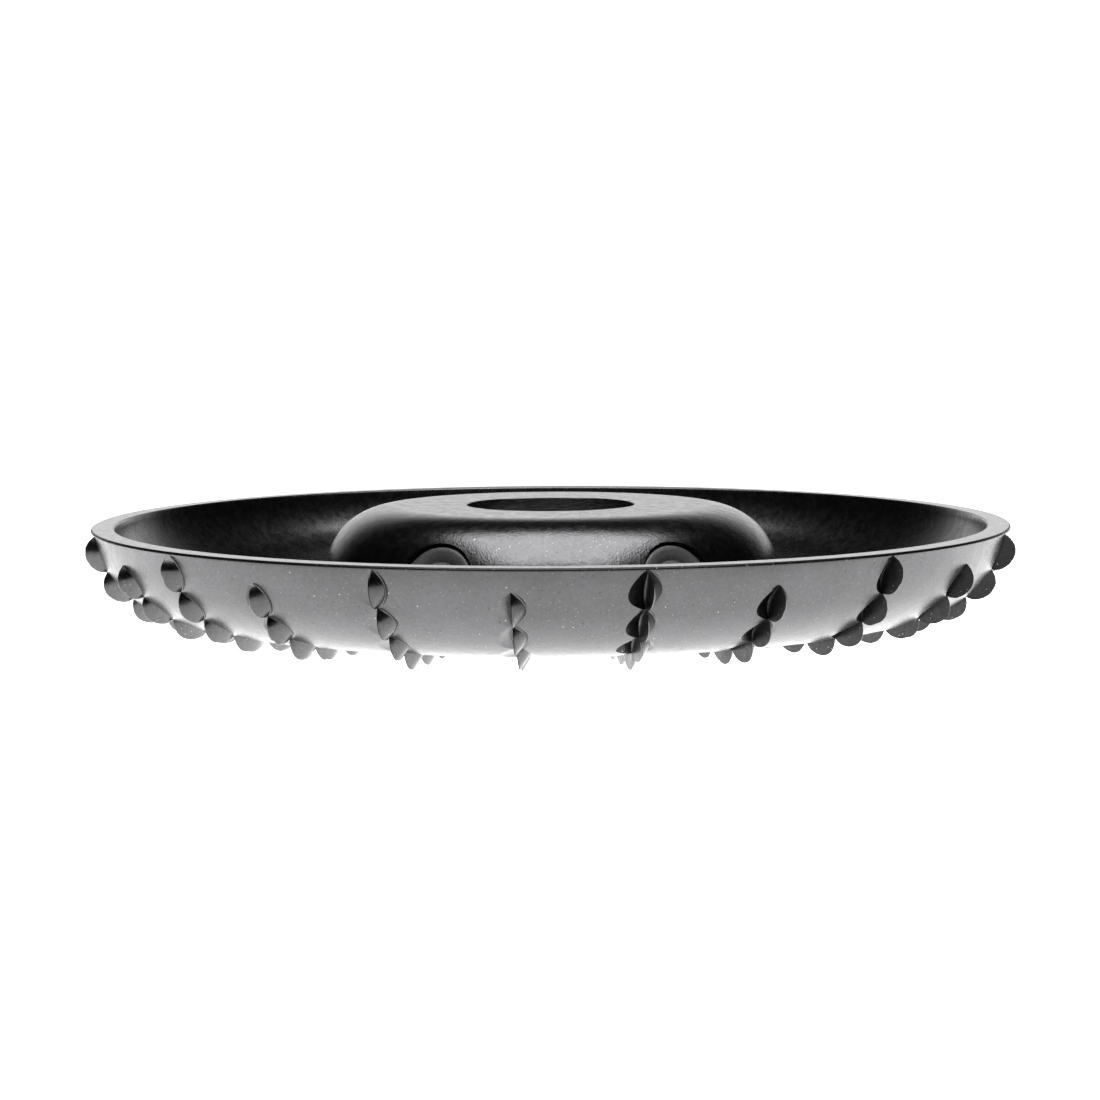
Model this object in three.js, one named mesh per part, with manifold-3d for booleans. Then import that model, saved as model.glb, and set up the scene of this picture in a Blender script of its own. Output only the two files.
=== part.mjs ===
// Angle grinder carving disc: a shallow steel rasp dish with a raised hub.
// Millimetres, +Z up along the bore axis. The origin is on the bore axis, in the plane
// of the lowest tooth tips. Angles are measured round the axis from -Y towards +X.
import * as THREE from 'three';
import { mergeVertices } from 'three/addons/utils/BufferGeometryUtils.js';
import Module from 'manifold-3d';

// Driving dimensions
const SHEET = 3;                 // thickness of the steel
const BORE_RADIUS = 22.23 / 2;   // standard grinder spindle bore
const RIM_RADIUS = 59.85;        // outer edge of the rim
const DISH_DEPTH = 11.35;        // rim face down to the outside of the floor
const FLOOR_RADIUS = 47;         // where the flat floor turns up into the wall
const RIM_ROUND = 0.5;           // rounding of the rim's outer edge
const WALL_DROP = 5.1;           // handles of the curve of the wall's outside
const WALL_REACH = 6.9;
const INNER_DROP = 3.8;          // handles of the curve of the wall's inside
const INNER_REACH = 5.2;
const HUB_RISE = 1.95;           // hub top above the rim face
const HUB_FLAT_RADIUS = 20.7;    // flat part of the hub top
const HUB_SHOULDER = 9.7;        // radius of the round shoulder of the hub
const HUB_TAPER = 20.6;          // lean of the hub wall from upright, degrees
const JOIN_GAP = 0.1;            // clearance between the hub's foot and the dish

// Rows of teeth. Eleven of them are set unevenly, the others fill the rest of the turn.
const UNEVEN_ROWS = [-71.6, -59.4, -47.1, -34, -18.9, -4.2, 10.1, 25, 40.2, 56, 69.5];
const ROW_COUNT = 24;
const TOOTH_LENGTH = 4.75;       // along the row
const TOOTH_HEIGHT = 1.8;        // out from the dish
const TOOTH_THICKNESS = 0.8;
const ROW_INNER_RADIUS = 34.5;   // no tooth reaches inside this on the floor
const RIM_MARGIN = 0.3;          // first tooth below the rim face
const ROOT_GAP = 0.25;           // clearance between a row and the dish
const ROOT_HEIGHT = 0.7;         // height of the strip that joins a row's teeth

// Vent holes round the hub
const VENT_COUNT = 6;
const VENT_PHASE = -28.4;        // angle of the first hole, degrees
const VENT_DROP = 5.5;           // centre below the rim face
const VENT_LEAN = 24;            // rise of the hole's axis from level, degrees
const VENT_INSET = 0.45;         // mouth circle in from the hub wall
const VENT_MOUTH_RADIUS = 5.1;
const VENT_BORE_RADIUS = 2.9;
const VENT_SINK_DEPTH = 0.5;     // depth of the flat step between mouth and bore

// Facets
const RING_SEGMENTS = 48;
const RING_PHASE = 3;            // angle of the first edge between facets, degrees
const VENT_SEGMENTS = 16;
const WALL_STEPS = 7;
const SHOULDER_STEPS = 5;
const TOOTH_STEPS = 4;
const EDGE_STEPS = 2;

// Heights worked out from the above
const FLOOR_BOTTOM = TOOTH_HEIGHT;
const FLOOR_TOP = FLOOR_BOTTOM + SHEET;
const RIM_TOP = FLOOR_BOTTOM + DISH_DEPTH;
const HUB_TOP = RIM_TOP + HUB_RISE;

const radians = THREE.MathUtils.degToRad;
const point = (radius, height) => new THREE.Vector2(radius, height);
const wasm = await Module();
wasm.setup();

const darkSteel = () => new THREE.MeshStandardMaterial({
  color: 0x3a3b3d, roughness: 0.42, metalness: 0.85,
});
const toothSteel = () => new THREE.MeshStandardMaterial({
  color: 0x2c2d2f, roughness: 0.35, metalness: 0.9,
});

function addMesh(group, name, geometry, material) {
  const mesh = new THREE.Mesh(geometry, material);
  mesh.name = name;
  group.add(mesh);
  return mesh;
}

function weld(geometry) {
  geometry.deleteAttribute('normal');
  geometry.deleteAttribute('uv');
  return mergeVertices(geometry, 1e-4);
}

// A closed outline of radius and height, turned round the Z axis.
function revolve(outline, segments, phase) {
  const closed = [...outline, outline[0]];
  const lathe = new THREE.LatheGeometry(closed, segments, radians(phase), 2 * Math.PI);
  lathe.rotateX(Math.PI / 2);
  return weld(lathe);
}

function toSolid(geometry) {
  return new wasm.Manifold(new wasm.Mesh({
    numProp: 3,
    vertProperties: Float32Array.from(geometry.attributes.position.array),
    triVerts: Uint32Array.from(geometry.index.array),
  }));
}

function fromSolid(solid) {
  const mesh = solid.getMesh();
  const geometry = new THREE.BufferGeometry();
  geometry.setAttribute('position', new THREE.BufferAttribute(mesh.vertProperties, 3));
  geometry.setIndex(new THREE.BufferAttribute(mesh.triVerts, 1));
  return geometry;
}

// Outside of the dish wall, from the rim edge down into the flat floor.
function outerWall() {
  return new THREE.CubicBezierCurve(
    point(RIM_RADIUS, RIM_TOP),
    point(RIM_RADIUS, RIM_TOP - WALL_DROP),
    point(FLOOR_RADIUS + WALL_REACH, FLOOR_BOTTOM),
    point(FLOOR_RADIUS, FLOOR_BOTTOM),
  );
}

// Inside of the dish wall, one sheet thickness in from the outside.
function innerWall() {
  const radius = RIM_RADIUS - SHEET;
  return new THREE.CubicBezierCurve(
    point(radius, RIM_TOP),
    point(radius, RIM_TOP - INNER_DROP),
    point(FLOOR_RADIUS + INNER_REACH, FLOOR_TOP),
    point(FLOOR_RADIUS, FLOOR_TOP),
  );
}

// Round shoulder of the hub: an arc from the flat top to the leaning wall.
function shoulder(radius) {
  const centre = point(HUB_FLAT_RADIUS, HUB_TOP - HUB_SHOULDER);
  const arc = new THREE.EllipseCurve(
    centre.x, centre.y, radius, radius, Math.PI / 2, radians(HUB_TAPER), true,
  );
  return arc.getPoints(SHOULDER_STEPS);
}

// Radius of the leaning hub wall at a height, below the end of its shoulder.
function hubWallRadius(shoulderPoints, height) {
  const end = shoulderPoints[SHOULDER_STEPS];
  return end.x + (end.y - height) * Math.tan(radians(HUB_TAPER));
}

function footRadius() {
  return hubWallRadius(shoulder(HUB_SHOULDER), FLOOR_TOP);
}

// Rounded outer edge of the rim, from the wall up to the rim face.
function rimEdge() {
  const arc = new THREE.EllipseCurve(
    RIM_RADIUS - RIM_ROUND, RIM_TOP - RIM_ROUND, RIM_ROUND, RIM_ROUND, 0, Math.PI / 2, false,
  );
  return arc.getPoints(EDGE_STEPS);
}

function dishShell() {
  const hole = footRadius() + JOIN_GAP;
  const outline = [
    point(hole, FLOOR_BOTTOM),
    ...outerWall().getPoints(WALL_STEPS).slice(1).reverse(),
    ...rimEdge(),
    ...innerWall().getPoints(WALL_STEPS),
    point(hole, FLOOR_TOP),
  ];
  return revolve(outline, RING_SEGMENTS, RING_PHASE);
}

// Cutter for one vent hole: a straight bore with a flat step round it at its mouth.
function ventCutter(angle) {
  const reach = 2 * SHEET;
  const lathe = new THREE.LatheGeometry([
    point(0, -reach),
    point(VENT_BORE_RADIUS, -reach),
    point(VENT_BORE_RADIUS, -VENT_SINK_DEPTH),
    point(VENT_MOUTH_RADIUS, -VENT_SINK_DEPTH),
    point(VENT_MOUTH_RADIUS, reach),
    point(0, reach),
  ], VENT_SEGMENTS);
  const height = RIM_TOP - VENT_DROP;
  const radius = hubWallRadius(shoulder(HUB_SHOULDER), height) - VENT_INSET;
  lathe.rotateX(Math.PI - radians(VENT_LEAN));
  lathe.translate(0, -radius, height);
  lathe.rotateZ(radians(angle));
  return toSolid(weld(lathe));
}

function hubCup() {
  const outside = shoulder(HUB_SHOULDER);
  const inside = shoulder(HUB_SHOULDER - SHEET);
  const outline = [
    point(BORE_RADIUS, HUB_TOP - SHEET),
    ...inside,
    point(hubWallRadius(inside, FLOOR_BOTTOM), FLOOR_BOTTOM),
    point(footRadius(), FLOOR_BOTTOM),
    point(footRadius(), FLOOR_TOP),
    ...outside.reverse(),
    point(BORE_RADIUS, HUB_TOP),
  ];
  let cup = toSolid(revolve(outline, RING_SEGMENTS, RING_PHASE));
  for (let index = 0; index < VENT_COUNT; index += 1) {
    cup = cup.subtract(ventCutter(VENT_PHASE + index * 360 / VENT_COUNT));
  }
  return fromSolid(cup);
}

// Point on the outside of the dish at a distance from the rim, moved out by a height.
function onDish(wall, wallLength, distance, height) {
  if (distance > wallLength) {
    return point(FLOOR_RADIUS - (distance - wallLength), FLOOR_BOTTOM - height);
  }
  const along = distance / wallLength;
  const tangent = wall.getTangentAt(along);
  const outward = point(-tangent.y, tangent.x);
  return wall.getPointAt(along).addScaledVector(outward, height);
}

// One row of teeth: round-topped fins that stand on a low strip along the dish.
function toothRow(start) {
  const wall = outerWall();
  const wallLength = wall.getLength();
  const room = wallLength + FLOOR_RADIUS - ROW_INNER_RADIUS - start;
  const steps = Math.floor(room / TOOTH_LENGTH) * TOOTH_STEPS;
  const crests = [];
  const roots = [];
  for (let step = 0; step <= steps; step += 1) {
    const distance = start + step * TOOTH_LENGTH / TOOTH_STEPS;
    const swell = Math.abs(Math.sin(Math.PI * step / TOOTH_STEPS));
    const height = ROOT_HEIGHT + (TOOTH_HEIGHT - ROOT_HEIGHT) * swell;
    crests.push(onDish(wall, wallLength, distance, height));
    if (step % 2 === 0) {
      roots.push(onDish(wall, wallLength, distance, ROOT_GAP));
    }
  }
  const fin = new THREE.ExtrudeGeometry(new THREE.Shape([...crests, ...roots.reverse()]), {
    depth: TOOTH_THICKNESS, bevelEnabled: false,
  });
  fin.translate(0, 0, -TOOTH_THICKNESS / 2);
  fin.rotateX(Math.PI / 2);
  return weld(fin);
}

// Angle of every row: the uneven ones, then even steps round to the first again.
function rowAngles() {
  const angles = [...UNEVEN_ROWS];
  const last = angles[angles.length - 1];
  const gap = (angles[0] + 360 - last) / (ROW_COUNT - angles.length + 1);
  while (angles.length < ROW_COUNT) {
    angles.push(angles[angles.length - 1] + gap);
  }
  return angles;
}

// Every second row starts half a tooth lower.
function addToothRows(group) {
  const starts = [RIM_MARGIN, RIM_MARGIN + TOOTH_LENGTH / 2];
  rowAngles().forEach((angle, index) => {
    const name = `tooth_row_${String(index + 1).padStart(2, '0')}`;
    const mesh = addMesh(group, name, toothRow(starts[index % 2]), toothSteel());
    mesh.rotation.z = radians(angle - 90);
  });
}

const disc = new THREE.Group();
addMesh(disc, 'dish_shell', dishShell(), darkSteel());
addMesh(disc, 'hub_cup', hubCup(), darkSteel());
addToothRows(disc);

export default disc;
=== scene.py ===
import math

import bmesh
import bpy
import numpy as np
from mathutils import Euler, Matrix, Vector


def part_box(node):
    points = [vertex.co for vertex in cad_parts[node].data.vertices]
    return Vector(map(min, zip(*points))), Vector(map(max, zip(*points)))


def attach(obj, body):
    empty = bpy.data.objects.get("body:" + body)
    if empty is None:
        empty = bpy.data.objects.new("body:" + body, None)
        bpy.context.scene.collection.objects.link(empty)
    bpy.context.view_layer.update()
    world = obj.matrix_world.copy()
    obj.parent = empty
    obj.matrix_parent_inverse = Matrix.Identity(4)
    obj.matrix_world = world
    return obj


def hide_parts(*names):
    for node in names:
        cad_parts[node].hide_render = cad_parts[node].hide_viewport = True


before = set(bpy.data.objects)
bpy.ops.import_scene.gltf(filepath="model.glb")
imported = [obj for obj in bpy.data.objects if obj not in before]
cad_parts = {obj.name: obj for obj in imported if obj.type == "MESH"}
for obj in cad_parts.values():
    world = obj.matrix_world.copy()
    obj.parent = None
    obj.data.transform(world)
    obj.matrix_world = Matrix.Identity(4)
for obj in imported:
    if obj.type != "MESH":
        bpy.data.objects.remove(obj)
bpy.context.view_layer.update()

# Angle grinder carving disc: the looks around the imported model.
# Lengths in the shape code are millimetres, and metres in the studio and the materials.
# Angles go round the bore axis from -Y towards +X.
MM = 0.001
SEED = 11

# Driving dimensions, read off the frame
RIM_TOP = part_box("dish_shell")[1].z / MM
FLOOR_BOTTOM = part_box("dish_shell")[0].z / MM
HUB_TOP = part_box("hub_cup")[1].z / MM


def widest_radius(node):
    """Largest distance of a node's vertices from the bore axis."""
    return max(math.hypot(v.co.x, v.co.y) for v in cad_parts[node].data.vertices) / MM


RIM_RADIUS = widest_radius("dish_shell")
FOOT_RADIUS = widest_radius("hub_cup")

# Dimensions that the frame's facets don't give
SHEET = 3.0
FLOOR_TOP = FLOOR_BOTTOM + SHEET
BORE_RADIUS = 22.23 / 2
BORE_EDGE = 0.08                 # broken edge of the bore
FLOOR_RADIUS = 47.0              # where the flat floor turns up into the wall
WALL_DROP = 5.1                  # handles of the curve of the wall's outside
WALL_REACH = 6.9
INNER_DROP = 3.8                 # handles of the curve of the wall's inside
INNER_REACH = 5.2
RIM_ROUND = 0.3                  # rounding of the rim's outer edge
INNER_ROUND = 0.35               # rounding of the rim's inner edge
HOLE_ROUND = 0.3                 # rounding of the dish's edges round the hub
HUB_FLAT_RADIUS = 20.7
HUB_SHOULDER = 9.7               # radius of the round shoulder of the hub
HUB_TAPER = math.radians(20.6)   # lean of the hub wall from upright
HUB_FILLET = 2.2                 # radius between the hub wall and the dish floor
RECESS_FILLET = 1.6              # radius inside the hub's foot
FOOT_GAP = 0.1                   # hub's foot in from the CAD's foot

# Rows of teeth: eleven are set unevenly, the others fill the rest of the turn
UNEVEN_ROWS = [-71.6, -59.4, -47.1, -34.0, -18.9, -4.2, 10.1, 25.0, 40.2, 56.0, 69.5]
ROW_COUNT = 24
TOOTH_LENGTH = 4.75
RIM_MARGIN = 0.5                 # first tooth from the outer end of the flat rim face
TEETH_IN_ROW = (6, 5)            # rows from the rim, rows that begin half a tooth lower
TOOTH_HEIGHT = FLOOR_BOTTOM      # the disc stands on its lowest teeth
PIT_WIDTH = 2.1                  # hollow cut in front of a tooth
PIT_DEPTH = 1.2
BACK_WIDTH = 2.05                # slope behind a tooth
TIP_WIDTH = 0.3                  # half width of the strip between two pits
SHALLOW_ROWS = [4, 5, 15, 21]    # rows with shallow, plain pits and lips in the near-black painted shade
SHALLOW_SHARE = 0.45             # their depth, as a share of another row's
GREY_PIT_ROWS = [0, 1, 2, 3, 4, 5, 12, 14, 15, 18, 21]   # rows whose cuts take the teeth's black instead of the near-black painted shade

# Vent holes round the hub
VENT_COUNT = 6
VENT_PHASE = -28.4
VENT_DROP = 5.57
VENT_LEAN = math.radians(23.0)
VENT_CENTRE_RADIUS = 29.74

# Mesh steps
STATIONS_PER_TOOTH = 18          # lines of the dish's grid along one tooth
TOOTH_STATIONS = 17              # rings along a raised tooth
EDGE_STEPS = 5                   # steps round the rim's outer edge
SHADED_EDGE_STEPS = 4              # the lowest of them, painted black as shade under the rim's edge
RIM_FACE_STEPS = 6               # steps of the flat rim face and its inner edge
HUB_COLUMNS = 288
VENT_SIDES = 96

# Faces that meet at more than this many degrees keep a sharp edge between them
DISH_SHARP = 28.0
HUB_SHARP = 32.0
TOOTH_SHARP = 40.0


# ---------------------------------------------------------------- mesh helpers

def around(angle):
    """Unit vectors that point out from the bore axis at an angle in radians."""
    return np.stack([np.sin(angle), -np.cos(angle)], axis=-1)


def signed_volume(points, faces):
    quads = points[faces]
    total = 0.0
    for a, b, c in ((0, 1, 2), (0, 2, 3)):
        corner = np.cross(quads[:, b], quads[:, c])
        total += np.einsum("ij,ij->", quads[:, a], corner)
    return total


def grid_faces(rows, columns, close_rows=True, close_columns=True):
    """Quads of a grid of points numbered row by row."""
    down = np.arange(rows if close_rows else rows - 1)
    across = np.arange(columns if close_columns else columns - 1)
    i, j = np.meshgrid(down, across, indexing="ij")
    next_i = (i + 1) % rows
    next_j = (j + 1) % columns
    corners = [i * columns + j, i * columns + next_j, next_i * columns + next_j, next_i * columns + j]
    return np.stack([c.ravel() for c in corners], axis=1)


def outward(points, faces):
    """The faces, turned over if they point inward."""
    return faces if signed_volume(points, faces) > 0 else faces[:, ::-1]


def smooth(mesh, sharp):
    """Smooth shading, apart from edges that turn more than sharp degrees."""
    mesh.shade_smooth()
    mesh.set_sharp_from_angle(angle=math.radians(sharp))


def make_piece(name, points, faces, materials, node, sharp, face_materials=None):
    """A named mesh object that rides on the disc and replaces its CAD node."""
    mesh = bpy.data.meshes.new(name)
    mesh.from_pydata((points * MM).tolist(), [], faces.tolist())
    mesh.validate()
    for material in materials:
        mesh.materials.append(material)
    if face_materials is not None:
        mesh.polygons.foreach_set("material_index", face_materials.astype(np.int32))
    smooth(mesh, sharp)
    piece = bpy.data.objects.new(name, mesh)
    bpy.context.scene.collection.objects.link(piece)
    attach(piece, "root")
    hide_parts(node)
    return piece


# ---------------------------------------------------------------- the dish's outline

def bezier(ends, count):
    """Points along a cubic Bezier curve given by its four control points."""
    t = np.linspace(0.0, 1.0, count)[:, None]
    a, b, c, d = (np.array(p) for p in ends)
    return (1 - t) ** 3 * a + 3 * (1 - t) ** 2 * t * b + 3 * (1 - t) * t ** 2 * c + t ** 3 * d


def outer_wall(count):
    return bezier([(RIM_RADIUS, RIM_TOP), (RIM_RADIUS, RIM_TOP - WALL_DROP),
                   (FLOOR_RADIUS + WALL_REACH, FLOOR_BOTTOM), (FLOOR_RADIUS, FLOOR_BOTTOM)], count)


def inner_wall(count):
    inside = RIM_RADIUS - SHEET
    return bezier([(inside, RIM_TOP), (inside, RIM_TOP - INNER_DROP),
                   (FLOOR_RADIUS + INNER_REACH, FLOOR_TOP), (FLOOR_RADIUS, FLOOR_TOP)], count)


def arc(centre, radius, start, end, count):
    """Points along an arc between two angles in degrees."""
    turn = np.radians(np.linspace(start, end, count))
    return np.array(centre) + radius * np.stack([np.cos(turn), np.sin(turn)], axis=1)


class OuterSkin:
    """The outside of the dish as a line of radius and height, from the rim face inward."""

    def __init__(self):
        edge = arc((RIM_RADIUS - RIM_ROUND, RIM_TOP - RIM_ROUND), RIM_ROUND, 90, 0, 40)
        wall = outer_wall(400)
        wall = wall[wall[:, 1] < RIM_TOP - RIM_ROUND - 0.02]
        floor_end = np.array([[FOOT_RADIUS, FLOOR_BOTTOM]])
        self.line = np.vstack([edge, wall, floor_end])
        steps = np.linalg.norm(np.diff(self.line, axis=0), axis=1)
        self.length = np.concatenate([[0.0], np.cumsum(steps)])

    def at(self, distance):
        """Radius, height and the outward normal at a distance from the rim."""
        step = 0.02
        place = self._place(distance)
        ahead = self._place(distance + step) - self._place(distance - step)
        ahead /= np.linalg.norm(ahead, axis=-1, keepdims=True)
        normal = np.stack([-ahead[..., 1], ahead[..., 0]], axis=-1)
        return place, normal

    def _place(self, distance):
        radius = np.interp(distance, self.length, self.line[:, 0])
        height = np.interp(distance, self.length, self.line[:, 1])
        return np.stack([radius, height], axis=-1)


SKIN = OuterSkin()


def row_angles():
    """Angle of every row in degrees: the uneven ones, then even steps round to the first."""
    angles = list(UNEVEN_ROWS)
    gap = (angles[0] + 360 - angles[-1]) / (ROW_COUNT - len(angles) + 1)
    while len(angles) < ROW_COUNT:
        angles.append(angles[-1] + gap)
    return angles


ROW_ANGLES = [math.radians(angle) for angle in row_angles()]


def on_skin(distance, sideways, height, row_angle):
    """Points at a distance along a row, moved sideways round the disc and out by a height."""
    place, normal = SKIN.at(distance)
    radius = place[..., 0] + height * normal[..., 0]
    angle = row_angle + sideways / place[..., 0]
    flat = around(angle) * radius[..., None]
    return np.concatenate([flat, (place[..., 1] + height * normal[..., 1])[..., None]], axis=-1)


# ---------------------------------------------------------------- teeth

def pit_swell(u):
    """Width of a pit along its tooth: pointed at the top, full below the middle."""
    return np.interp(u, [0, 0.1, 0.25, 0.42, 0.58, 0.7, 0.82, 0.92, 1],
                     [0, 0.3, 0.64, 0.9, 1.0, 0.97, 0.8, 0.48, 0])


def lip_swell(u):
    """Height of a tooth's lip: straight flanks to a blunt peak a little above the middle."""
    return np.interp(u, [0, 0.08, 0.2, 0.34, 0.44, 0.56, 0.7, 0.84, 0.94, 1],
                     [0, 0.4, 0.76, 0.95, 1.0, 0.96, 0.84, 0.62, 0.35, 0])


def back_swell(u):
    """Width of the slope behind a tooth."""
    return np.sin(np.pi * np.clip(u, 0, 1)) ** 0.8


def row_start(row):
    return RIM_MARGIN + (row % 2) * TOOTH_LENGTH / 2


class Tooth:
    """Sizes of one tooth. Hand-cut teeth differ a little from each other."""

    def __init__(self, row, index, random):
        self.start = row_start(row) + index * TOOTH_LENGTH
        self.height = TOOTH_HEIGHT * random.uniform(0.9, 1.0)
        self.pit_width = PIT_WIDTH * random.uniform(0.86, 1.04)
        self.pit_depth = PIT_DEPTH * random.uniform(0.85, 1.05)
        if row in SHALLOW_ROWS:
            self.pit_depth *= SHALLOW_SHARE
        self.back_width = BACK_WIDTH * random.uniform(0.86, 1.04)
        self.lean = random.uniform(0.1, 0.3)
        self.curl = random.uniform(-0.12, 0.1)
        self.nick_at = random.uniform(0.3, 0.75)
        self.nick_depth = random.choice([0.0, 0.0, 0.05, 0.09])


def make_teeth():
    """The teeth of every row, outermost tooth first."""
    random = np.random.default_rng(SEED)
    return [[Tooth(row, index, random) for index in range(TEETH_IN_ROW[row % 2])]
            for row in range(ROW_COUNT)]


TEETH = make_teeth()

# Cross-section of a tooth: up its face, over the lip, down its back and closed below
FACE_STEPS = 6
BACK_STEPS = 6
LIP_THICKNESS = 0.11
LIP_DROP = 0.03                  # back of the lip below its front
END_HEIGHT = 0.02                # height left at the two pointed ends
ROOT_DEPTH = 0.12                # face carried on below the bottom of the pit
BACK_SINK = 0.22                 # end of the back below the dish's skin
BACK_SHARE = 0.76                # raised part of the slope behind a tooth
NICK_LENGTH = 0.07               # as a share of the tooth's length


def tooth_section(tooth, u):
    """Closed outline of a tooth, sideways and out from the dish, at a place along it."""
    rise = lip_swell(u)
    nick = tooth.nick_depth * np.exp(-((u - tooth.nick_at) / NICK_LENGTH) ** 2)
    height = tooth.height * rise * (1 - nick) + END_HEIGHT
    depth = tooth.pit_depth * pit_swell(u)
    lean = tooth.lean * rise
    back = tooth.back_width * BACK_SHARE * back_swell(u) + 0.08
    face = np.linspace(0.0, 1.0, FACE_STEPS)
    face_out = -depth - ROOT_DEPTH + face * (height + depth + ROOT_DEPTH)
    face_across = lean * face ** 2 + tooth.curl * np.sin(np.pi * face) * rise - 0.02
    fall = np.linspace(0.0, 1.0, BACK_STEPS)
    back_across = face_across[-1] + LIP_THICKNESS * (0.3 + 0.7 * rise)
    back_across = back_across + fall * np.maximum(back - back_across, 0.04)
    back_out = (height - LIP_DROP) * (1 - fall) - BACK_SINK * fall
    low = -depth - ROOT_DEPTH
    across = np.concatenate([face_across, back_across, [back * 0.6, back * 0.2]])
    out = np.concatenate([face_out, back_out, [low * 0.9 - 0.2, low - 0.05]])
    return across, out


def tooth_rings(tooth, row_angle, stations):
    """The cross-sections of one tooth in their places on the dish."""
    rings = []
    for u in stations:
        across, out = tooth_section(tooth, u)
        distance = np.full(across.shape, tooth.start + u * TOOTH_LENGTH)
        rings.append(on_skin(distance, across, out, row_angle))
    return np.array(rings)


def capped_tube(rings):
    """Points and quads of a run of rings with both ends closed by folding the ring flat."""
    count, around_ring = rings.shape[:2]
    faces = grid_faces(count, around_ring, close_rows=False)
    points = rings.reshape(-1, 3)
    caps = []
    for base, order in ((0, -1), ((count - 1) * around_ring, 1)):
        last = base + around_ring - 1
        for k in range(around_ring // 2 - 1):
            quad = [base + k, base + k + 1, last - 1 - k, last - k]
            caps.append(quad[::order])
    return points, np.vstack([faces, np.array(caps)])


def tooth_slots(faces, ring_size):
    """Material of each quad of a tooth: 0 back, 1 lip, 2 cutting face."""
    place = faces % ring_size
    slots = np.zeros(len(faces), dtype=int)
    slots[(place < FACE_STEPS).all(axis=1)] = 2
    lip = (place == FACE_STEPS - 1).any(axis=1) & (place == FACE_STEPS).any(axis=1)
    slots[lip] = 1
    return slots


def make_tooth_row(row, materials):
    """All the raised teeth of one row."""
    stations = 0.5 - 0.5 * np.cos(np.linspace(0.0, 1.0, TOOTH_STATIONS) * np.pi)
    all_points, all_faces, all_slots = [], [], []
    offset = 0
    for tooth in TEETH[row]:
        rings = tooth_rings(tooth, ROW_ANGLES[row], stations)
        points, faces = capped_tube(rings)
        faces = outward(points, faces)
        all_points.append(points)
        all_faces.append(faces + offset)
        all_slots.append(tooth_slots(faces, rings.shape[1]))
        offset += len(points)
    node = f"tooth_row_{row + 1:02d}"
    make_piece(node + "_barbs", np.vstack(all_points), np.vstack(all_faces), materials,
               node, TOOTH_SHARP, np.concatenate(all_slots))


# ---------------------------------------------------------------- dish

# Columns of the dish's grid across one row, as shares of the pit, of the back and of the
# plain skin up to the next row
PIT_SHARES = np.array([-1.0, -0.86, -0.72, -0.58, -0.44, -0.3, -0.18, -0.09, 0.0])
BACK_SHARES = np.array([0.04, 0.2, 0.4, 0.56, 0.68, 0.78, 0.88, 0.96, 1.0])
GAP_SHARES = np.array([0.03, 0.09, 0.18, 0.29, 0.43, 0.57, 0.71, 0.82, 0.91, 0.97])
ROW_COLUMNS = len(PIT_SHARES) + len(BACK_SHARES) + len(GAP_SHARES)
VALLEY_COLUMN = 7                # strip along the bottom of a pit
CUT_DEPTH = 0.06                 # a pit shallower than this keeps the dish's own finish, without the painted shade
GROOVE_DEPTH = 0.16              # shallow groove along the far side of a tooth's back
GROOVE_START = 0.55              # share of the back where that groove begins
PIT_BOTTOM = 0.91                # share of the pit over which it deepens


def row_profile(row, distance):
    """Pit width, back width and pit depth along a row, for distances from the rim."""
    pit = np.full(distance.shape, TIP_WIDTH)
    back = np.full(distance.shape, TIP_WIDTH)
    depth = np.zeros(distance.shape)
    for tooth in TEETH[row]:
        u = (distance - tooth.start) / TOOTH_LENGTH
        inside = (u >= 0) & (u <= 1)
        pit[inside] = TIP_WIDTH + (tooth.pit_width - TIP_WIDTH) * pit_swell(u[inside])
        back[inside] = TIP_WIDTH + (tooth.back_width - TIP_WIDTH) * back_swell(u[inside])
        depth[inside] = tooth.pit_depth * pit_swell(u[inside])
    return pit, back, depth


def row_columns(row, distance, radius):
    """Angles and heights of the columns across one row, one line per station."""
    pit, back, depth = row_profile(row, distance)
    across = np.concatenate([pit[:, None] * PIT_SHARES, back[:, None] * BACK_SHARES], axis=1)
    slope = np.clip((PIT_SHARES + 1) / PIT_BOTTOM, 0, 1)
    pit_height = -depth[:, None] * slope ** 0.9
    past = np.clip((BACK_SHARES - GROOVE_START) / (1 - GROOVE_START), 0, 1)
    groove = -GROOVE_DEPTH * np.sin(np.pi * past) ** 2
    back_height = groove * (back[:, None] - TIP_WIDTH) / BACK_WIDTH
    angle = ROW_ANGLES[row] + across / radius[:, None]
    return angle, np.concatenate([pit_height, back_height], axis=1)


def all_columns(distance, radius):
    """Angles and heights of every column round the dish."""
    angles, heights = [], []
    rows = [row_columns(row, distance, radius) for row in range(ROW_COUNT)]
    for row in range(ROW_COUNT):
        angle, height = rows[row]
        following = rows[(row + 1) % ROW_COUNT][0][:, :1]
        if row == ROW_COUNT - 1:
            following = following + 2 * np.pi
        gap = angle[:, -1:] + (following - angle[:, -1:]) * GAP_SHARES
        angles += [angle, gap]
        heights += [height, np.zeros(gap.shape)]
    return np.concatenate(angles, axis=1), np.concatenate(heights, axis=1)


def toothed_stations():
    """Distances from the rim of the lines of the dish's outer skin."""
    step = TOOTH_LENGTH / STATIONS_PER_TOOTH
    edge = np.linspace(0.0, RIM_ROUND * math.pi / 2, EDGE_STEPS + 1)
    toothed = edge[-1] + step * np.arange(1, TEETH_IN_ROW[0] * STATIONS_PER_TOOTH)
    tail = np.linspace(toothed[-1] + step, SKIN.length[-1] - 0.4, 5)
    return np.concatenate([edge, toothed, tail])


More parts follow.
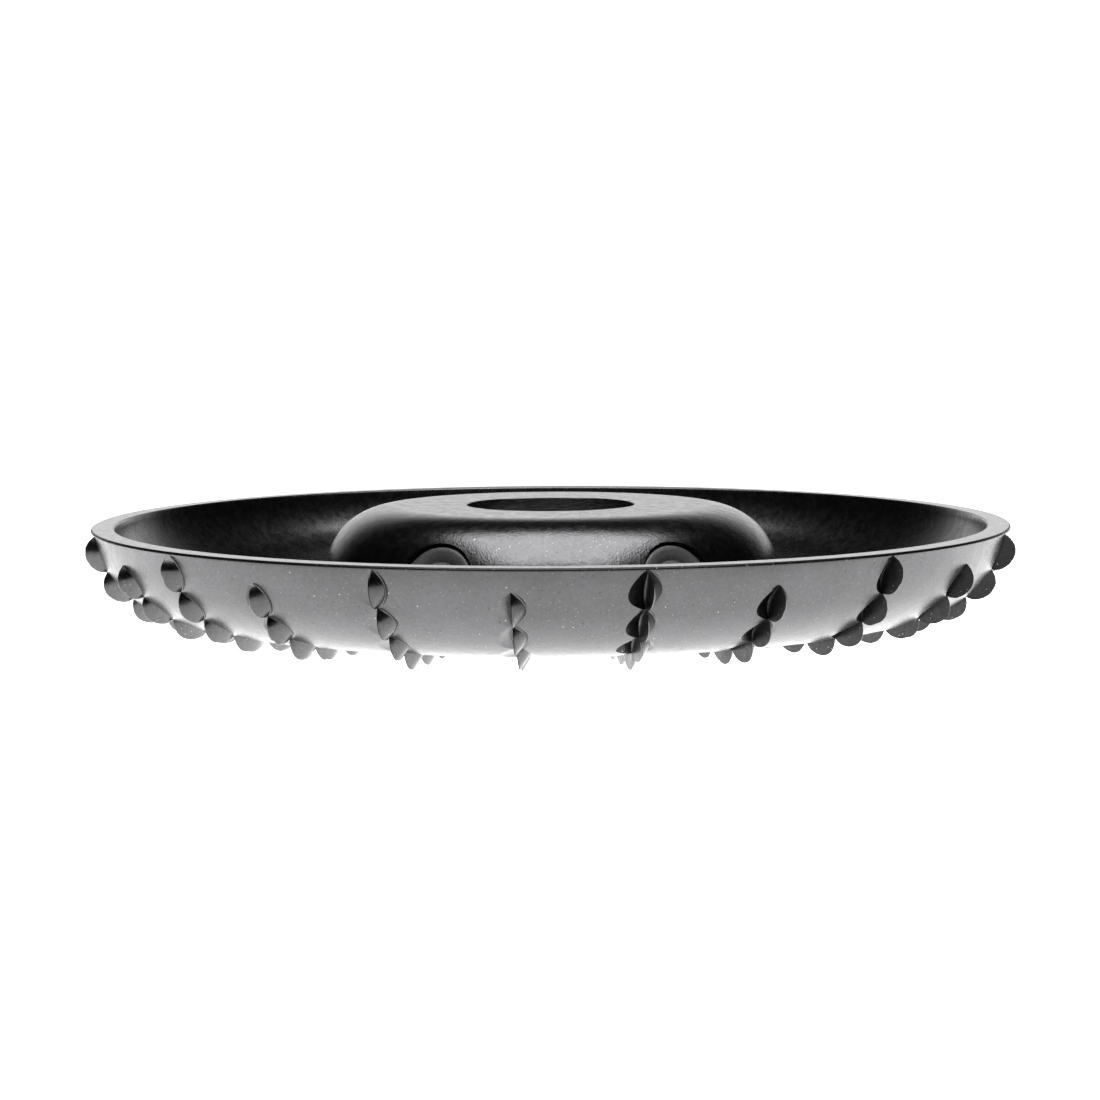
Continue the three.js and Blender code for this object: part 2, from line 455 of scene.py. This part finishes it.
def plain_section():
    """Radius and height of the rest of the section: the hole's edge, the inside, the rim face."""
    side = FOOT_RADIUS + HOLE_ROUND
    inner_rim = RIM_RADIUS - SHEET
    return np.vstack([
        arc((side, FLOOR_BOTTOM + HOLE_ROUND), HOLE_ROUND, 270, 180, 4),
        arc((side, FLOOR_TOP - HOLE_ROUND), HOLE_ROUND, 180, 90, 4),
        np.linspace((FOOT_RADIUS + 1.2, FLOOR_TOP), (FLOOR_RADIUS - 1.0, FLOOR_TOP), 9),
        inner_wall(26)[2:][::-1],
        arc((inner_rim + INNER_ROUND, RIM_TOP - INNER_ROUND), INNER_ROUND, 170, 90, 5),
        np.linspace((inner_rim + 0.6, RIM_TOP), (RIM_RADIUS - RIM_ROUND - 0.1, RIM_TOP), 4),
    ])


def toothed_skin():
    """Grid of the outside of the dish, its angles, and its heights off the plain skin."""
    distance = toothed_stations()
    place, normal = SKIN.at(distance)
    angle, height = all_columns(distance, place[:, 0])
    radius = place[:, :1] + height * normal[:, :1]
    level = place[:, 1:] + height * normal[:, 1:]
    skin = np.concatenate([around(angle) * radius[..., None], level[..., None]], axis=-1)
    return skin, angle, height


def plain_skin(first, last):
    """Grid of the rest of the dish, whose columns pass from the last angles to the first."""
    section = plain_section()
    blend = np.linspace(0.0, 1.0, len(section))[:, None]
    angle = last + (first - last) * blend
    flat = around(angle) * section[:, :1][..., None]
    level = np.broadcast_to(section[:, 1:], angle.shape)
    return np.concatenate([flat, level[..., None]], axis=-1)


def make_dish(materials):
    skin, angle, height = toothed_skin()
    grid = np.concatenate([skin, plain_skin(angle[0], angle[-1])], axis=0)
    points = grid.reshape(-1, 3)
    faces = outward(points, grid_faces(grid.shape[0], grid.shape[1]))
    slots = dish_slots(grid.shape, height)
    make_piece("dish", points, faces, materials, "dish_shell", DISH_SHARP, slots)


def dish_slots(shape, height):
    """Material of each quad: 0 steel, 1 near-black painted shade on the cuts and on the lower rim
    edge, 2 painted highlight along the pit bottoms, 3 rim face, 4 cuts in the teeth's black."""
    column = np.arange(shape[1])
    row, sector = np.divmod(column, ROW_COLUMNS)
    deep = height[:, column - sector + VALLEY_COLUMN] < -CUT_DEPTH
    # the cut faces of the pits, which get the near-black painted shade
    shaded_cut = deep & (sector <= VALLEY_COLUMN + 1)
    slots = np.zeros(shape[:2], dtype=int)
    toothed = slots[:len(height)]
    toothed[shaded_cut] = 1
    toothed[shaded_cut & np.isin(row, GREY_PIT_ROWS)] = 4
    toothed[deep & (sector == VALLEY_COLUMN)] = 2
    toothed[:, np.isin(row, SHALLOW_ROWS)] = 0
    # the lowest steps round the rim's outer edge are painted black as shade
    first_shaded = EDGE_STEPS - SHADED_EDGE_STEPS
    slots[first_shaded:EDGE_STEPS] = 1
    slots[:first_shaded] = 3
    slots[-RIM_FACE_STEPS:] = 3
    return slots.ravel()


# ---------------------------------------------------------------- hub

def revolve(outline, columns):
    """A closed outline of radius and height turned round the bore axis."""
    angle = np.linspace(0.0, 2 * np.pi, columns, endpoint=False)
    flat = around(angle)[None] * outline[:, 0][:, None, None]
    level = np.broadcast_to(outline[:, 1][:, None, None], flat.shape[:2] + (1,))
    points = np.concatenate([flat, level], axis=-1).reshape(-1, 3)
    return points, outward(points, grid_faces(len(outline), columns))


def leaning_wall(radius, low):
    """Straight hub wall from the end of a shoulder arc of a radius down to a height."""
    centre = HUB_TOP - HUB_SHOULDER
    start = (HUB_FLAT_RADIUS + radius * math.cos(HUB_TAPER), centre + radius * math.sin(HUB_TAPER))
    reach = (start[1] - low) * math.tan(HUB_TAPER)
    return start, (start[0] + reach, low)


def hub_outline():
    """Closed outline of the hub from the bore's top edge over the outside and back inside."""
    centre = (HUB_FLAT_RADIUS, HUB_TOP - HUB_SHOULDER)
    taper = math.degrees(HUB_TAPER)
    underside = HUB_TOP - SHEET
    foot_radius = FOOT_RADIUS - FOOT_GAP
    wall_top, wall_low = leaning_wall(HUB_SHOULDER, FLOOR_TOP + HUB_FILLET)
    inner_top, inner_low = leaning_wall(HUB_SHOULDER - SHEET, FLOOR_BOTTOM + RECESS_FILLET)
    fillet_centre = (wall_low[0] + HUB_FILLET * 1.03, wall_low[1])
    foot = arc(fillet_centre, HUB_FILLET, 180 + taper * 0.3, 268, 8)
    return np.vstack([
        [(BORE_RADIUS + BORE_EDGE, HUB_TOP)],
        np.linspace((BORE_RADIUS + 1.0, HUB_TOP), (HUB_FLAT_RADIUS - 1.0, HUB_TOP), 6),
        arc(centre, HUB_SHOULDER, 90, taper, 26),
        np.linspace(wall_top, wall_low, 7)[1:],
        foot[1:],
        [(foot[-1][0] + 0.1, FLOOR_TOP - 0.12)],
        [(foot_radius, FLOOR_TOP - 0.3), (foot_radius, FLOOR_BOTTOM + 0.3)],
        [(FOOT_RADIUS - 0.4, FLOOR_BOTTOM)],
        arc((inner_low[0] + 1.75, FLOOR_BOTTOM + RECESS_FILLET), RECESS_FILLET, 270, 190, 7),
        np.linspace(inner_low, inner_top, 6)[1:],
        arc(centre, HUB_SHOULDER - SHEET, taper, 90, 16)[1:],
        np.linspace((HUB_FLAT_RADIUS - 1.0, underside), (BORE_RADIUS + 1.0, underside), 5),
        [(BORE_RADIUS + BORE_EDGE, underside), (BORE_RADIUS, underside + BORE_EDGE)],
        [(BORE_RADIUS, HUB_TOP - BORE_EDGE)],
    ])


# Radius and depth below the mouth of a vent hole: a groove, a flat step, then the bore
VENT_OUTLINE = [
    (5.25, -6.0), (5.25, 0.3), (5.2, 0.8), (5.05, 1.0), (4.9, 0.8), (4.84, 0.5),
    (4.76, 0.39), (4.6, 0.34), (4.2, 0.35), (3.7, 0.41), (3.3, 0.5), (3.05, 0.66),
    (2.93, 0.9), (2.9, 1.4), (2.9, 8.0),
]
STEP_RADII = (2.8, 4.9)          # the flat step lies between these radii and depths
STEP_DEPTHS = (0.2, 1.2)


def vent_frame(angle):
    """Centre of a vent hole's mouth, and its directions along the hub, up and out."""
    out = around(np.array(angle))
    along = np.array([math.cos(angle), math.sin(angle), 0.0])
    axis = np.array([*(out * math.cos(VENT_LEAN)), math.sin(VENT_LEAN)])
    up = np.array([*(-out * math.sin(VENT_LEAN)), math.cos(VENT_LEAN)])
    centre = np.array([*(out * VENT_CENTRE_RADIUS), RIM_TOP - VENT_DROP])
    return centre, along, up, axis


def vent_angles():
    """Angle of every vent hole in radians."""
    return [math.radians(VENT_PHASE + index * 360 / VENT_COUNT) for index in range(VENT_COUNT)]


def colour_vent_steps(mesh):
    """Gives the flat step inside every vent hole the second material, a paler grey that paints light
    onto the step.
    """
    middles = np.array([face.center[:] for face in mesh.polygons]) / MM
    slots = np.zeros(len(middles), dtype=np.int32)
    for angle in vent_angles():
        centre, along, up, axis = vent_frame(angle)
        offset = middles - centre
        depth = -offset @ axis
        radius = np.hypot(offset @ along, offset @ up)
        on_step = (radius > STEP_RADII[0]) & (radius < STEP_RADII[1])
        on_step &= (depth > STEP_DEPTHS[0]) & (depth < STEP_DEPTHS[1])
        slots[on_step] = 1
    mesh.polygons.foreach_set("material_index", slots)


def vent_cutter(angle):
    """Cutter for one vent hole, which leans in towards the hub."""
    outline = np.array(VENT_OUTLINE)
    turn = np.linspace(0.0, 2 * np.pi, VENT_SIDES, endpoint=False)
    ring = np.stack([np.cos(turn), np.sin(turn)], axis=1)
    side = outline[:, 0][:, None, None] * ring[None]
    centre, along, up, axis = vent_frame(angle)
    points = centre + side[..., :1] * along + side[..., 1:] * up
    points = points - outline[:, 1][:, None, None] * axis
    faces = grid_faces(len(outline), VENT_SIDES, close_rows=False).tolist()
    last = (len(outline) - 1) * VENT_SIDES
    faces.append(list(range(VENT_SIDES - 1, -1, -1)))
    faces.append(list(range(last, last + VENT_SIDES)))
    return points.reshape(-1, 3), faces


def cut_vents(hub):
    """Cuts the six vent holes out of the hub."""
    for angle in vent_angles():
        points, faces = vent_cutter(angle)
        mesh = bpy.data.meshes.new("vent_cutter")
        mesh.from_pydata((points * MM).tolist(), [], faces)
        cutter = bpy.data.objects.new("vent_cutter", mesh)
        bpy.context.scene.collection.objects.link(cutter)
        recalculate(mesh)
        modifier = hub.modifiers.new("vent", "BOOLEAN")
        modifier.operation = "DIFFERENCE"
        modifier.solver = "EXACT"
        modifier.object = cutter
        apply_modifiers(hub)
        bpy.data.objects.remove(cutter)
        bpy.data.meshes.remove(mesh)


def recalculate(mesh):
    """Turns all of a closed mesh's faces outward."""
    work = bmesh.new()
    work.from_mesh(mesh)
    bmesh.ops.recalc_face_normals(work, faces=work.faces)
    work.to_mesh(mesh)
    work.free()


def apply_modifiers(piece):
    """Replaces the piece's mesh with what its modifiers make of it."""
    shown = piece.evaluated_get(bpy.context.evaluated_depsgraph_get())
    mesh = bpy.data.meshes.new_from_object(shown)
    old = piece.data
    piece.modifiers.clear()
    piece.data = mesh
    mesh.name = old.name
    bpy.data.meshes.remove(old)


def make_hub(materials):
    points, faces = revolve(hub_outline(), HUB_COLUMNS)
    hub = make_piece("hub", points, faces, materials, "hub_cup", HUB_SHARP)
    cut_vents(hub)
    colour_vent_steps(hub.data)
    smooth(hub.data, HUB_SHARP)
    weighted = hub.modifiers.new("even_normals", "WEIGHTED_NORMAL")
    weighted.keep_sharp = True


# ---------------------------------------------------------------- materials

class Tree:
    """Short calls for building a node tree."""

    def __init__(self, tree, coordinates):
        self.tree = tree
        self.place = tree.nodes.new("ShaderNodeTexCoord").outputs[coordinates]

    def link(self, source, target):
        self.tree.links.new(source, target)

    def ramp(self, source, low, high, bottom=0.0, top=1.0, curve="LINEAR"):
        """The source's low..high stretched to bottom..top, clamped."""
        node = self.tree.nodes.new("ShaderNodeMapRange")
        node.interpolation_type = curve
        node.inputs["From Min"].default_value = low
        node.inputs["From Max"].default_value = high
        node.inputs["To Min"].default_value = bottom
        node.inputs["To Max"].default_value = top
        self.link(source, node.inputs["Value"])
        return node.outputs["Result"]

    def math(self, operation, first, second):
        node = self.tree.nodes.new("ShaderNodeMath")
        node.operation = operation
        for value, socket in zip((first, second), node.inputs):
            if isinstance(value, (int, float)):
                socket.default_value = value
            else:
                self.link(value, socket)
        return node.outputs[0]

    def split(self):
        """The X, Y and Z of the place."""
        node = self.tree.nodes.new("ShaderNodeSeparateXYZ")
        self.link(self.place, node.inputs["Vector"])
        return node.outputs["X"], node.outputs["Y"], node.outputs["Z"]


class Nodes(Tree):
    """Short calls for building a material's nodes."""

    def __init__(self, name):
        self.material = bpy.data.materials.new(name)
        self.material.use_nodes = True
        super().__init__(self.material.node_tree, "Object")
        self.shader = self.tree.nodes["Principled BSDF"]

    def noise(self, scale, detail=4.0, roughness=0.55):
        node = self.tree.nodes.new("ShaderNodeTexNoise")
        node.inputs["Scale"].default_value = scale
        node.inputs["Detail"].default_value = detail
        node.inputs["Roughness"].default_value = roughness
        self.link(self.place, node.inputs["Vector"])
        return node.outputs["Fac"]

    def mix(self, factor, first, second):
        node = self.tree.nodes.new("ShaderNodeMix")
        node.data_type = "RGBA"
        self.link(factor, node.inputs["Factor"])
        for value, name in ((first, "A"), (second, "B")):
            socket = [s for s in node.inputs if s.name == name and s.type == "RGBA"][0]
            if isinstance(value, tuple):
                socket.default_value = (*value, 1.0)
            else:
                self.link(value, socket)
        return [s for s in node.outputs if s.type == "RGBA"][0]

    def specks(self, scale, size, share):
        """Small round specks in a share of the cells of a scattered pattern."""
        node = self.tree.nodes.new("ShaderNodeTexVoronoi")
        node.inputs["Scale"].default_value = scale
        self.link(self.place, node.inputs["Vector"])
        split = self.tree.nodes.new("ShaderNodeSeparateColor")
        self.link(node.outputs["Color"], split.inputs["Color"])
        near = self.ramp(node.outputs["Distance"], size, size * 0.5)
        chosen = self.ramp(split.outputs["Red"], 1 - share, 1 - share + 0.01)
        return self.math("MULTIPLY", near, chosen)

    def bump(self, height, distance, strength=1.0, under=None):
        node = self.tree.nodes.new("ShaderNodeBump")
        node.inputs["Distance"].default_value = distance
        node.inputs["Strength"].default_value = strength
        self.link(height, node.inputs["Height"])
        if under is not None:
            self.link(under, node.inputs["Normal"])
        return node.outputs["Normal"]


DULL_DUST = (0.36, 0.36, 0.36)
BRIGHT_DUST = (0.6, 0.6, 0.6)
FINE_GRAIN = 0.00001             # depth of the grain, m
HUB_GRAIN = 0.00003
WAVINESS = 0.00006               # depth of the slow waves in the surface, m


def black_steel(name, dark, light, rough_low, rough_high, grain=FINE_GRAIN):
    """Satin black steel: uneven tone, fine grain, pale dust and dark flecks."""
    n = Nodes(name)
    blotch = n.math("MULTIPLY", n.ramp(n.noise(150, 5.0), 0.3, 0.7), 0.5)
    grain_tone = n.math("MULTIPLY", n.ramp(n.noise(2600, 2.0), 0.3, 0.7), 0.5)
    tone = n.mix(n.math("ADD", blotch, grain_tone), dark, light)
    tone = n.mix(n.specks(1700, 0.13, 0.9), tone, DULL_DUST)
    tone = n.mix(n.specks(700, 0.07, 0.5), tone, BRIGHT_DUST)
    tone = n.mix(n.specks(1100, 0.13, 0.35), tone, tuple(0.6 * c for c in dark))
    n.link(tone, n.shader.inputs["Base Color"])
    n.link(n.ramp(n.noise(900, 6.0), 0.3, 0.7, rough_low, rough_high), n.shader.inputs["Roughness"])
    fine = n.bump(n.noise(3200, 3.0), grain)
    wavy = n.bump(n.noise(260, 2.0), WAVINESS, 0.6, fine)
    n.link(wavy, n.shader.inputs["Normal"])
    n.shader.inputs["Metallic"].default_value = 1.0
    return n.material


def pale_highlight(name, dark, light):
    """Paler steel along the cutting lips and the bottoms of the pits, a painted highlight."""
    n = Nodes(name)
    tone = n.mix(n.noise(1500, 3.0), dark, light)
    n.link(tone, n.shader.inputs["Base Color"])
    n.link(n.ramp(n.noise(2500, 3.0), 0.3, 0.7, 0.28, 0.45), n.shader.inputs["Roughness"])
    n.shader.inputs["Metallic"].default_value = 1.0
    return n.material


# ---------------------------------------------------------------- studio

CAMERA_LENS = 74.3               # focal length, mm, on a 36 mm sensor
CAMERA_DISTANCE = 0.300          # from the bore axis
CAMERA_RISE = 0.02673            # above the rim face
CAMERA_TURN = (5.883, 0.02, 0.28)   # degrees down, round and tilted
FLOOR_SIDE = 6.0                 # half the side of the table
FLOOR_GAP = 0.00005              # table below the lowest teeth


def add_camera():
    """Camera across the dish, a little above the rim."""
    data = bpy.data.cameras.new("camera")
    data.sensor_width = 36.0
    data.lens = CAMERA_LENS
    data.clip_start = 0.01
    data.clip_end = 20.0
    camera = bpy.data.objects.new("camera", data)
    camera.location = (0.0, -CAMERA_DISTANCE, RIM_TOP * MM + CAMERA_RISE)
    camera.rotation_mode = "QUATERNION"
    camera.rotation_quaternion = camera_rotation(*CAMERA_TURN)
    bpy.context.scene.collection.objects.link(camera)
    bpy.context.scene.camera = camera


def camera_rotation(pitch, yaw, roll):
    """Rotation of a camera that looks along +Y, turned by three angles in degrees."""
    level = Euler((math.radians(90 - pitch), 0.0, math.radians(yaw)), "XYZ").to_matrix()
    return (level @ Matrix.Rotation(math.radians(-roll), 3, "Z")).to_quaternion()


def floor_glow(n):
    """Strength of the table's light: more towards the back, most under the dish's outer part, and dim
    under the hub, where a shadow is painted into the glow."""
    x, y, _ = n.split()
    back = n.ramp(y, -0.085, 0.0, 1.0, 2.1)
    squares = n.math("ADD", n.math("POWER", x, 2.0), n.math("POWER", y, 2.0))
    from_axis = n.math("SQRT", squares, 0.0)
    # painted shadow: the glow drops under the hub
    hub_shadow = n.ramp(from_axis, 0.024, 0.036, 0.08, 1.0)
    dish_share = n.ramp(from_axis, 0.045, 0.06, 1.7, 1.0)
    return n.math("MULTIPLY", back, n.math("MULTIPLY", hub_shadow, dish_share))


def add_floor():
    """Pale lit table that the disc stands on."""
    mesh = bpy.data.meshes.new("floor")
    side = FLOOR_SIDE
    corners = [(-side, -side, 0), (side, -side, 0), (side, side, 0), (-side, side, 0)]
    mesh.from_pydata(corners, [], [(0, 1, 2, 3)])
    floor = bpy.data.objects.new("floor", mesh)
    floor.location.z = -FLOOR_GAP
    bpy.context.scene.collection.objects.link(floor)
    n = Nodes("pale_table")
    n.shader.inputs["Base Color"].default_value = (0.1, 0.1, 0.1, 1.0)
    n.shader.inputs["Roughness"].default_value = 0.9
    n.shader.inputs["Emission Color"].default_value = (1.0, 1.0, 1.0, 1.0)
    n.link(floor_glow(n), n.shader.inputs["Emission Strength"])
    mesh.materials.append(n.material)


def add_world():
    """Low bright backdrop behind the disc, in a dim studio. The camera itself sees white."""
    world = bpy.data.worlds.new("studio")
    world.use_nodes = True
    bpy.context.scene.world = world
    n = Tree(world.node_tree, "Generated")
    _, y, z = n.split()
    behind = n.ramp(y, 0.74, 0.96, 0.0, 1.0, "SMOOTHSTEP")
    low = n.ramp(z, 0.2, 0.55, 1.0, 0.0, "SMOOTHSTEP")
    backdrop = n.math("MULTIPLY", n.math("MULTIPLY", behind, low), 1.05)
    glow = n.math("ADD", backdrop, 0.008)
    seen = n.tree.nodes.new("ShaderNodeLightPath").outputs["Is Camera Ray"]
    background = n.tree.nodes["Background"]
    background.inputs["Color"].default_value = (1.0, 1.0, 1.0, 1.0)
    n.link(n.math("MAXIMUM", glow, seen), background.inputs["Strength"])


def add_softbox(name, place, aim, size, power):
    """Rectangular light at a place, facing the aim."""
    data = bpy.data.lights.new(name, "AREA")
    data.shape = "RECTANGLE"
    data.size, data.size_y = size
    data.energy = power
    light = bpy.data.objects.new(name, data)
    light.location = place
    light.rotation_mode = "QUATERNION"
    light.rotation_quaternion = (Vector(aim) - Vector(place)).to_track_quat("-Z", "Y")
    bpy.context.scene.collection.objects.link(light)


# ---------------------------------------------------------------- the whole scene

def add_disc():
    """The three kinds of piece with their finishes, painted shade and painted highlights."""
    black, black_light = (0.145, 0.145, 0.148), (0.195, 0.195, 0.2)
    body = black_steel("body_black", black, black_light, 0.22, 0.32)
    hub = black_steel("hub_black", black, black_light, 0.17, 0.27, HUB_GRAIN)
    barb = black_steel("barb_black", (0.1, 0.1, 0.102), (0.15, 0.15, 0.153), 0.2, 0.32)
    # near-black steel that paints shade into the pits and onto the cutting faces
    shaded_cut = black_steel("cut_painted_shade", (0.035, 0.035, 0.036), (0.06, 0.06, 0.062), 0.3, 0.45)
    # paler steel that paints a highlight along the lips and along the pit bottoms
    edge = pale_highlight("lip_painted_highlight", (0.16, 0.16, 0.165), (0.34, 0.34, 0.345))
    valley_highlight = pale_highlight("valley_painted_highlight", (0.3, 0.3, 0.305), (0.5, 0.5, 0.51))
    rim_face = black_steel("rim_face", (0.24, 0.24, 0.245), (0.32, 0.32, 0.325), 0.17, 0.25)
    # paler, rougher steel that paints light onto the vent holes' flat step
    vent_step_lit = black_steel("vent_step_painted_light", (0.26, 0.26, 0.265), (0.4, 0.4, 0.405), 0.5, 0.6)
    make_dish([body, shaded_cut, valley_highlight, rim_face, barb])
    make_hub([hub, vent_step_lit])
    for row in range(ROW_COUNT):
        # lips take the painted shade in the shallow rows and a painted highlight in the others;
        # cutting faces always take the painted shade
        lip = shaded_cut if row in SHALLOW_ROWS else edge
        make_tooth_row(row, [barb, lip, shaded_cut])


add_camera()
add_disc()
add_floor()
add_world()
add_softbox("top_softbox", (0.03, -0.14, 0.60), (0.03, -0.14, 0.0), (0.6, 0.68), 3.6)
bpy.context.scene.view_settings.view_transform = "Standard"
